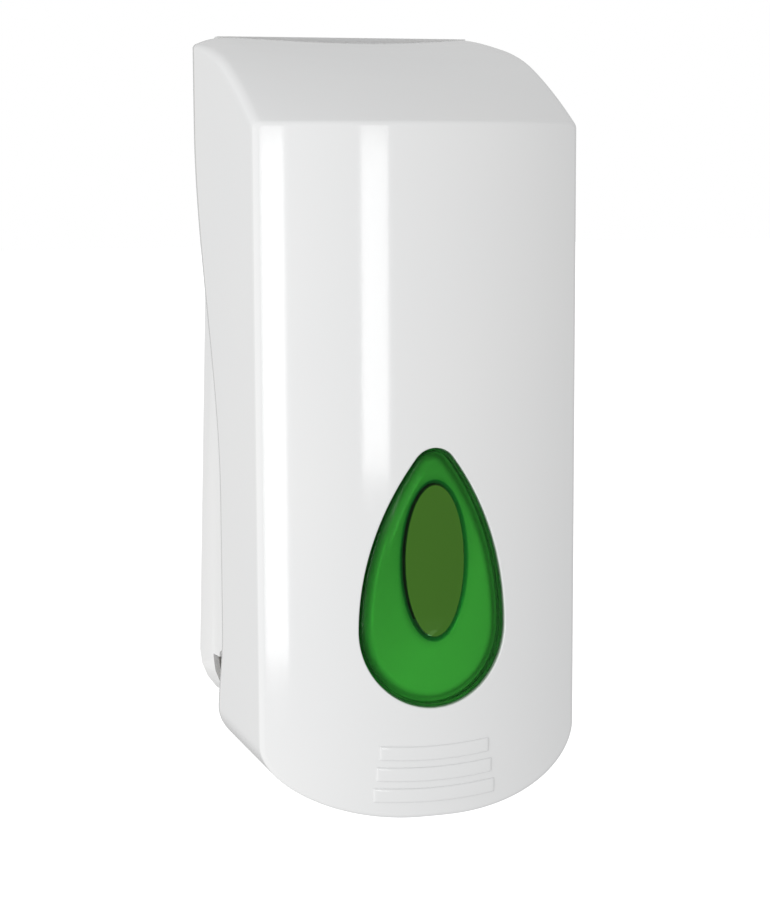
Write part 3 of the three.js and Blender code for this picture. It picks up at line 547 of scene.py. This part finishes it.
def build_spring(material):
    """The pump's return spring: a wire helix."""
    steps = 48 * SPRING_TURNS
    around = 10
    along_y = np.array([0.0, 1.0, 0.0])
    verts = []
    for i in range(steps + 1):
        t = i / steps
        angle = 2 * math.pi * SPRING_TURNS * t
        out = np.array([math.cos(angle), 0.0, math.sin(angle)])
        y = SPRING_BACK_Y + (SPRING_FRONT_Y - SPRING_BACK_Y) * t
        middle = np.array([0.0, y, SPRING_Z]) + SPRING_RADIUS * out
        for j in range(around):
            a = 2 * math.pi * j / around
            verts.append(middle + SPRING_WIRE * (math.cos(a) * out + math.sin(a) * along_y))
    faces = ring_faces(steps + 1, around, False)
    faces += [tuple(range(around)), tuple(range(steps * around, (steps + 1) * around))]
    spring = new_object("pump_spring", verts, faces, "wall_unit", material)
    fix_normals(spring)
    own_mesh(spring)
    return spring


# ---- materials ----
def principled(name, color, roughness, **sockets):
    material = bpy.data.materials.new(name)
    material.use_nodes = True
    shader = material.node_tree.nodes["Principled BSDF"]
    shader.inputs["Base Color"].default_value = (*color, 1)
    shader.inputs["Roughness"].default_value = roughness
    for key, value in sockets.items():
        shader.inputs[key.replace("_", " ")].default_value = value
    return material, shader


def add_surface_texture(material, shader, scale, strength, rough, tint):
    """Fine moulded texture: noise drives bump and roughness, and a soft large noise the colour."""
    nodes = material.node_tree.nodes
    links = material.node_tree.links
    coords = nodes.new("ShaderNodeTexCoord")
    fine = nodes.new("ShaderNodeTexNoise")
    fine.inputs["Scale"].default_value = scale
    fine.inputs["Detail"].default_value = 3.0
    links.new(coords.outputs["Object"], fine.inputs["Vector"])
    bump = nodes.new("ShaderNodeBump")
    bump.inputs["Strength"].default_value = strength
    bump.inputs["Distance"].default_value = 0.0002
    links.new(fine.outputs["Fac"], bump.inputs["Height"])
    links.new(bump.outputs["Normal"], shader.inputs["Normal"])
    spread = nodes.new("ShaderNodeMapRange")
    spread.inputs["From Min"].default_value = 0.3
    spread.inputs["From Max"].default_value = 0.7
    spread.inputs["To Min"].default_value = rough[0]
    spread.inputs["To Max"].default_value = rough[1]
    links.new(fine.outputs["Fac"], spread.inputs["Value"])
    links.new(spread.outputs["Result"], shader.inputs["Roughness"])
    wide = nodes.new("ShaderNodeTexNoise")
    wide.inputs["Scale"].default_value = 9.0
    wide.inputs["Detail"].default_value = 2.0
    ramp = nodes.new("ShaderNodeValToRGB")
    ramp.color_ramp.elements[0].position = 0.35
    ramp.color_ramp.elements[1].position = 0.65
    ramp.color_ramp.elements[0].color = (*tint[0], 1)
    ramp.color_ramp.elements[1].color = (*tint[1], 1)
    links.new(coords.outputs["Object"], wide.inputs["Vector"])
    links.new(wide.outputs["Fac"], ramp.inputs["Fac"])
    links.new(ramp.outputs["Color"], shader.inputs["Base Color"])
    return material


# light left after one pass through each skin of the window, for its parts
GLASS_TINT = (0.485, 0.835, 0.47)
LINE_TINT = (0.22, 0.62, 0.34)
RIM_TINT = (0.3, 0.68, 0.36)
SIGHT_TINT = (0.72, 0.97, 0.66)
SIGHT_MIST = (0.067, 0.192, 0.021)
MIST_SHARE = 0.8


def tinted_clear(name):
    """Clear green plastic with a glossy skin; its oval sight is paler and misted, inside a dark line."""
    material = bpy.data.materials.new(name)
    material.use_nodes = True
    nodes = material.node_tree.nodes
    links = material.node_tree.links
    nodes.remove(nodes["Principled BSDF"])
    coords = nodes.new("ShaderNodeTexCoord")
    cloud = nodes.new("ShaderNodeTexNoise")
    cloud.inputs["Scale"].default_value = 40.0
    cloud.inputs["Detail"].default_value = 2.0
    links.new(coords.outputs["Object"], cloud.inputs["Vector"])

    def outside(grow):
        """0 inside the sight's oval, 1 outside it, for an oval that is larger all round by grow."""
        place = nodes.new("ShaderNodeMapping")
        place.vector_type = "TEXTURE"
        place.inputs["Location"].default_value = (0, 0, SIGHT_Z * MM)
        half, tall = (SIGHT_HALF + grow) * MM, (SIGHT_TALL + grow) * MM
        place.inputs["Scale"].default_value = (half, 1e6, tall)
        links.new(coords.outputs["Object"], place.inputs["Vector"])
        reach = nodes.new("ShaderNodeVectorMath")
        reach.operation = "LENGTH"
        links.new(place.outputs["Vector"], reach.inputs[0])
        step = nodes.new("ShaderNodeMapRange")
        step.inputs["From Min"].default_value = 0.99
        step.inputs["From Max"].default_value = 1.01
        links.new(reach.outputs["Value"], step.inputs["Value"])
        return step.outputs["Result"]

    def choose(factor, first, second):
        pick = nodes.new("ShaderNodeMix")
        pick.data_type = "RGBA"
        links.new(factor, pick.inputs["Factor"])
        for socket, value in ((pick.inputs[6], first), (pick.inputs[7], second)):
            if isinstance(value, tuple):
                socket.default_value = (*value, 1)
            else:
                links.new(value, socket)
        return pick.outputs[2]

    past_sight = outside(-SIGHT_LINE)
    # the rounded rim and the skirt are thicker in the line of sight, so they are darker
    facing = nodes.new("ShaderNodeSeparateXYZ")
    links.new(coords.outputs["Normal"], facing.inputs["Vector"])
    straight = nodes.new("ShaderNodeMath")
    straight.operation = "ABSOLUTE"
    links.new(facing.outputs["Y"], straight.inputs[0])
    on_rim = nodes.new("ShaderNodeMapRange")
    on_rim.inputs["From Min"].default_value = 0.95
    on_rim.inputs["From Max"].default_value = 0.82
    links.new(straight.outputs["Value"], on_rim.inputs["Value"])
    glass = choose(on_rim.outputs["Result"], GLASS_TINT, RIM_TINT)
    color = choose(outside(SIGHT_LINE_OUT), choose(past_sight, SIGHT_TINT, LINE_TINT), glass)
    shade = nodes.new("ShaderNodeHueSaturation")
    # painted shade: the window's tint is darker towards its upper left, standing in for the shade the
    # pocket's wall casts there
    painted_shade_slope = nodes.new("ShaderNodeVectorMath")
    painted_shade_slope.operation = "DOT_PRODUCT"
    painted_shade_slope.inputs[1].default_value = (-1.0, 0.0, 0.75)
    links.new(coords.outputs["Object"], painted_shade_slope.inputs[0])
    bright = nodes.new("ShaderNodeMapRange")
    bright.inputs["From Min"].default_value = -0.05
    bright.inputs["From Max"].default_value = -0.01
    bright.inputs["To Min"].default_value = 0.99
    bright.inputs["To Max"].default_value = 0.9
    links.new(painted_shade_slope.outputs["Value"], bright.inputs["Value"])
    # random cloud in the tint, plus the painted shade towards the upper left
    cloud_and_painted_shade = nodes.new("ShaderNodeMath")
    cloud_and_painted_shade.operation = "MULTIPLY_ADD"
    cloud_and_painted_shade.inputs[1].default_value = 0.02
    links.new(cloud.outputs["Fac"], cloud_and_painted_shade.inputs[0])
    links.new(bright.outputs["Result"], cloud_and_painted_shade.inputs[2])
    links.new(cloud_and_painted_shade.outputs["Value"], shade.inputs["Value"])
    links.new(color, shade.inputs["Color"])
    through = nodes.new("ShaderNodeBsdfTransparent")
    links.new(shade.outputs["Color"], through.inputs["Color"])

    mist = nodes.new("ShaderNodeBsdfDiffuse")
    mist.inputs["Color"].default_value = (*SIGHT_MIST, 1)
    inside = nodes.new("ShaderNodeMapRange")
    inside.inputs["To Min"].default_value = MIST_SHARE
    inside.inputs["To Max"].default_value = 0.0
    links.new(past_sight, inside.inputs["Value"])
    body = nodes.new("ShaderNodeMixShader")
    links.new(inside.outputs["Result"], body.inputs["Fac"])
    links.new(through.outputs["BSDF"], body.inputs[1])
    links.new(mist.outputs["BSDF"], body.inputs[2])

    ripple = nodes.new("ShaderNodeBump")
    ripple.inputs["Strength"].default_value = 0.05
    ripple.inputs["Distance"].default_value = 0.0002
    links.new(cloud.outputs["Fac"], ripple.inputs["Height"])
    skin = nodes.new("ShaderNodeBsdfGlossy")
    skin.inputs["Roughness"].default_value = 0.08
    links.new(ripple.outputs["Normal"], skin.inputs["Normal"])
    rim = nodes.new("ShaderNodeFresnel")
    rim.inputs["IOR"].default_value = 1.2
    mix = nodes.new("ShaderNodeMixShader")
    links.new(rim.outputs["Fac"], mix.inputs["Fac"])
    links.new(body.outputs["Shader"], mix.inputs[1])
    links.new(skin.outputs["BSDF"], mix.inputs[2])
    links.new(mix.outputs["Shader"], nodes["Material Output"].inputs["Surface"])
    return material


def make_materials():
    made = {}
    material, shader = principled("gloss_white", (0.8, 0.8, 0.8), 0.09, IOR=1.5)
    made["cover_white"] = add_surface_texture(
        material, shader, 420.0, 0.02, (0.07, 0.11), ((0.795, 0.8, 0.802), (0.81, 0.812, 0.81))
    )
    material, shader = principled("satin_white", (0.8, 0.8, 0.8), 0.32)
    made["frame_white"] = add_surface_texture(
        material, shader, 2600.0, 0.04, (0.28, 0.38), ((0.785, 0.79, 0.79), (0.805, 0.805, 0.8))
    )
    made["window_green"] = tinted_clear("window_green")
    material, shader = principled("tank_amber", (0.62, 0.44, 0.17), 0.2, Transmission_Weight=0.2)
    made["tank_amber"] = add_surface_texture(
        material, shader, 30.0, 0.02, (0.16, 0.24), ((0.6, 0.42, 0.15), (0.66, 0.48, 0.2))
    )
    material, shader = principled("pump_grey", (0.3, 0.31, 0.33), 0.42)
    made["pump_grey"] = add_surface_texture(
        material, shader, 900.0, 0.15, (0.36, 0.5), ((0.28, 0.29, 0.31), (0.32, 0.33, 0.35))
    )
    material, shader = principled("seal_rubber", (0.03, 0.03, 0.032), 0.75)
    made["seal_rubber"] = add_surface_texture(
        material, shader, 600.0, 0.2, (0.65, 0.85), ((0.025, 0.025, 0.027), (0.04, 0.04, 0.042))
    )
    material, shader = principled("plated_steel", (0.62, 0.63, 0.65), 0.25, Metallic=1.0)
    made["steel"] = add_surface_texture(
        material, shader, 1500.0, 0.05, (0.2, 0.34), ((0.6, 0.61, 0.63), (0.65, 0.66, 0.68))
    )
    return made


WELD_DISTANCE = 0.01
BEVEL_WIDTH = 0.25
BEVEL_FROM_DEGREES = 32


def dress_frame(materials):
    """Gives each CAD node its slot's material, welded and bevelled edges and smooth shading."""
    for part in frame["record"]["subparts"]:
        node = frame["nodes"][part["node"]]
        material = materials[part["material_slot"]]
        node.data.materials.clear()
        node.data.materials.append(material)
        weld = node.modifiers.new("weld", "WELD")
        weld.merge_threshold = WELD_DISTANCE * MM
        bevel = node.modifiers.new("bevel", "BEVEL")
        bevel.width = BEVEL_WIDTH * MM
        bevel.segments = 2
        bevel.limit_method = "ANGLE"
        bevel.angle_limit = math.radians(BEVEL_FROM_DEGREES)
        flat = node.modifiers.new("flat", "WEIGHTED_NORMAL")
        flat.weight = 100
        node.data.polygons.foreach_set("use_smooth", [True] * len(node.data.polygons))


# ---- camera, light and floor ----
CAMERA = {"psi": 16.55, "distance": 765.0, "z": 78.6, "yaw": 17.62, "pitch": 7.64, "roll": -0.25}
FOCAL_PIXELS = 2231.0
LONG_SIDE = 920.0
SENSOR = 36.0


def make_camera():
    data = bpy.data.cameras.new("camera")
    data.sensor_fit = "VERTICAL"
    data.sensor_height = SENSOR
    data.lens = FOCAL_PIXELS / LONG_SIDE * SENSOR
    data.clip_start = 0.05
    data.clip_end = 50.0
    camera = bpy.data.objects.new("camera", data)
    bpy.context.scene.collection.objects.link(camera)
    psi, yaw, pitch, roll = (math.radians(CAMERA[k]) for k in ("psi", "yaw", "pitch", "roll"))
    distance = CAMERA["distance"] * MM
    place = Vector((-distance * math.sin(psi), -distance * math.cos(psi), CAMERA["z"] * MM))
    level = math.cos(pitch)
    forward = Vector((math.sin(yaw) * level, math.cos(yaw) * level, -math.sin(pitch)))
    right = Vector((math.cos(yaw), -math.sin(yaw), 0))
    up = right.cross(forward)
    rolled_right = right * math.cos(roll) + up * math.sin(roll)
    rolled_up = up * math.cos(roll) - right * math.sin(roll)
    turn = Matrix((rolled_right, rolled_up, -forward)).transposed().to_4x4()
    camera.matrix_world = Matrix.Translation(place) @ turn
    bpy.context.scene.camera = camera


FLOOR_HALF = 12.0
FLOOR_Z = -0.42
# upright lamps that show as bright stripes in the gloss: name, (x, y), bottom, top and width in metres
STRIPS = [
    ("strip_edge", (-0.935, -1.03), -0.37, 0.105, 0.21),
    ("strip_front", (-0.12, -1.39), -0.2, 0.105, 0.24),
]
STRIP_RADIANCE = 5.5
STRIP_AIM_Y = -0.09
# soft light on the dispenser: an even level and broad lobes, as (direction, strength)
LIGHT_LEVEL = 0.6
LIGHT_LOBES = [
    ((-1, 0, 0), 0.59),
    ((0, -1, 0), 0.14),
    ((0, 0, -1), -0.07),
]


def make_world(scene):
    """Soft studio light, brightest from the front left; the camera sees plain white behind the part."""
    world = bpy.data.worlds.new("studio")
    scene.world = world
    world.use_nodes = True
    nodes = world.node_tree.nodes
    links = world.node_tree.links
    background = nodes["Background"]
    coords = nodes.new("ShaderNodeTexCoord")
    total = None
    for direction, strength in LIGHT_LOBES:
        towards = nodes.new("ShaderNodeVectorMath")
        towards.operation = "DOT_PRODUCT"
        towards.inputs[1].default_value = direction
        links.new(coords.outputs["Generated"], towards.inputs[0])
        lit = nodes.new("ShaderNodeMath")
        lit.operation = "MAXIMUM"
        lit.inputs[1].default_value = 0.0
        links.new(towards.outputs["Value"], lit.inputs[0])
        add = nodes.new("ShaderNodeMath")
        add.operation = "MULTIPLY_ADD"
        add.inputs[1].default_value = strength
        add.inputs[2].default_value = LIGHT_LEVEL
        links.new(lit.outputs["Value"], add.inputs[0])
        if total is not None:
            links.new(total.outputs["Value"], add.inputs[2])
        total = add
    path = nodes.new("ShaderNodeLightPath")
    pick = nodes.new("ShaderNodeMix")
    pick.data_type = "FLOAT"
    links.new(path.outputs["Is Camera Ray"], pick.inputs["Factor"])
    links.new(total.outputs["Value"], pick.inputs[2])
    pick.inputs[3].default_value = 1.0
    links.new(pick.outputs[0], background.inputs["Strength"])
    background.inputs["Color"].default_value = (1, 1, 1, 1)


def make_stage():
    """White studio: the world's light, a pale floor far below the part and the strip lights."""
    scene = bpy.context.scene
    scene.view_settings.view_transform = "Standard"
    make_world(scene)
    mesh = bpy.data.meshes.new("floor")
    side = FLOOR_HALF
    corners = [(x, y, FLOOR_Z) for x, y in ((-side, -side), (side, -side), (side, side), (-side, side))]
    mesh.from_pydata(corners, [], [(0, 1, 2, 3)])
    floor = bpy.data.objects.new("floor", mesh)
    scene.collection.objects.link(floor)
    material, shader = principled("floor_pale", (0.9, 0.9, 0.9), 0.8)
    shader.inputs["Emission Color"].default_value = (1, 1, 1, 1)
    shader.inputs["Emission Strength"].default_value = 0.5
    mesh.materials.append(material)
    floor.visible_diffuse = False
    floor.visible_glossy = False
    for strip in STRIPS:
        strip_light(*strip)


def strip_light(name, place, bottom, top, width):
    """An upright rectangular lamp that faces the dispenser."""
    data = bpy.data.lights.new(name, "AREA")
    data.shape = "RECTANGLE"
    data.size, data.size_y = width, top - bottom
    data.energy = STRIP_RADIANCE * math.pi * width * (top - bottom)
    light = bpy.data.objects.new(name, data)
    bpy.context.scene.collection.objects.link(light)
    light.location = (place[0], place[1], (top + bottom) / 2)
    towards = Vector((-place[0], STRIP_AIM_Y - place[1], 0))
    light.rotation_euler = towards.to_track_quat("-Z", "Y").to_euler()


MATERIALS = make_materials()
make_camera()
make_stage()
dress_frame(MATERIALS)
cover = build_cover(MATERIALS["cover_white"])
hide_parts("cover_shell")
build_ribs(MATERIALS["cover_white"])
lens = build_lens(MATERIALS["window_green"])
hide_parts("window_lens")
spring = build_spring(MATERIALS["steel"])
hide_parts("return_spring")
